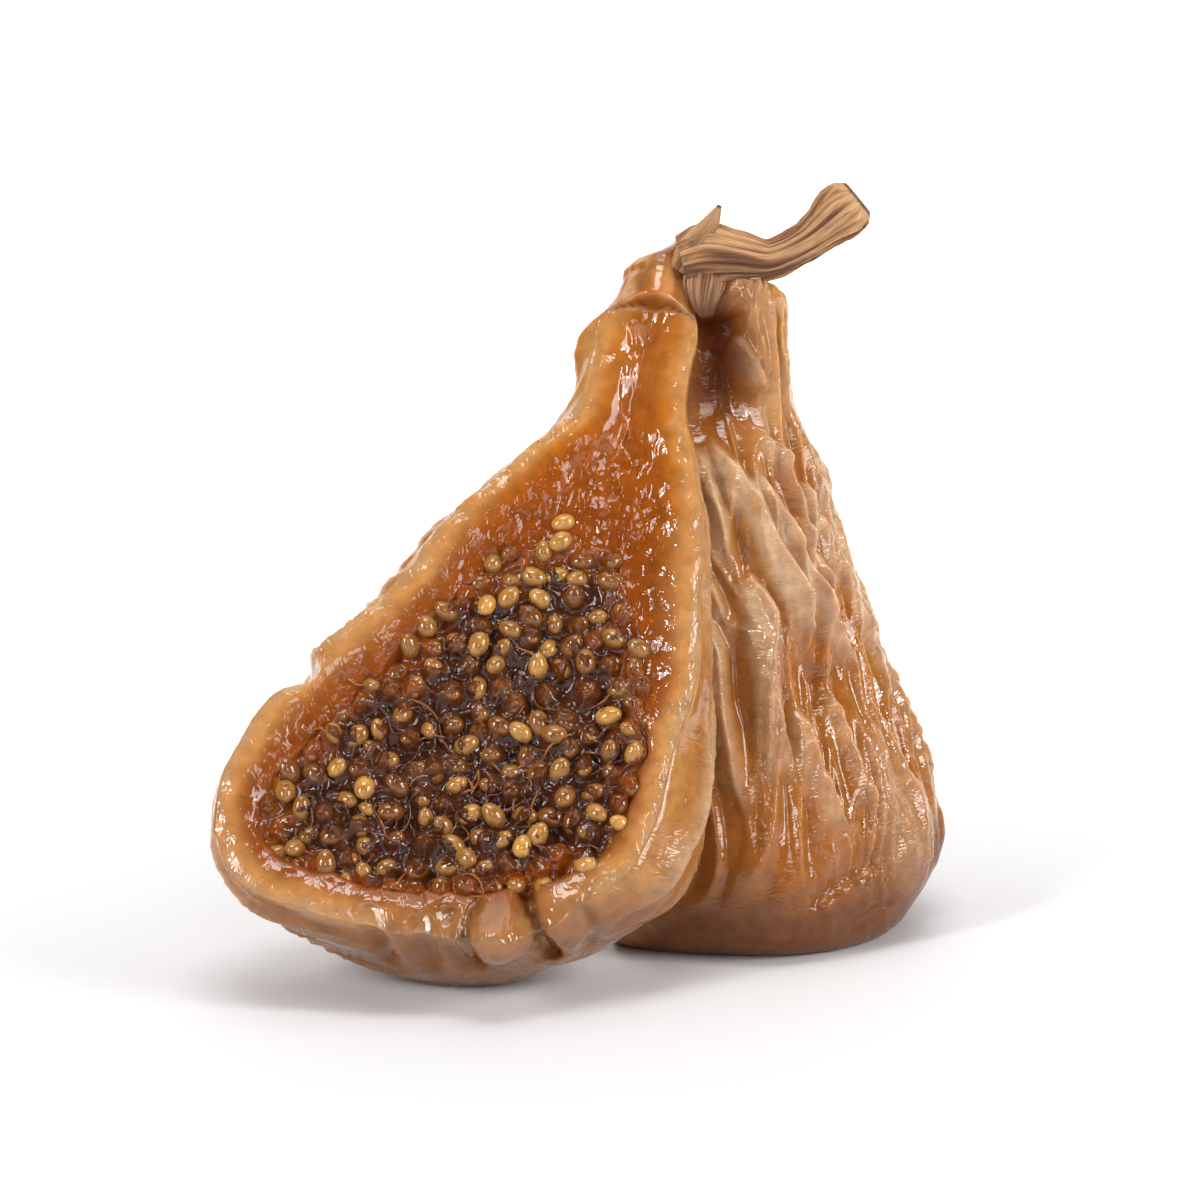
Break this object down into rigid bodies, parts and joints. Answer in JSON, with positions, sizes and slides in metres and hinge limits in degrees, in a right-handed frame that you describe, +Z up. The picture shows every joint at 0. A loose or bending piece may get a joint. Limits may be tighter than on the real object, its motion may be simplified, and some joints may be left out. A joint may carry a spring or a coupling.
{
  "type": "dried fig",
  "caption": "Dried fig cut lengthwise and opened, its halves still joined at the neck and stem, standing on their eye ends with one cut face shown.",
  "frame": {"origin": "on the surface that the fig stands on, under the middle of its outline", "axes": "+Z up, and the cut face that shows looks towards -Y and leans back from it"},
  "size_m": [0.0538, 0.0468, 0.0561],
  "materials": {
    "fig_flesh": "sticky, glossy and translucent",
    "front_pulp": "wet and glossy",
    "back_pulp": "wet and glossy",
    "stem": "dry and fibrous"
  },
  "bodies": {
    "root": {"fig_flesh": "fig_flesh", "front_pulp": "front_pulp", "back_pulp": "back_pulp", "stem": "stem"}
  },
  "joints": []
}
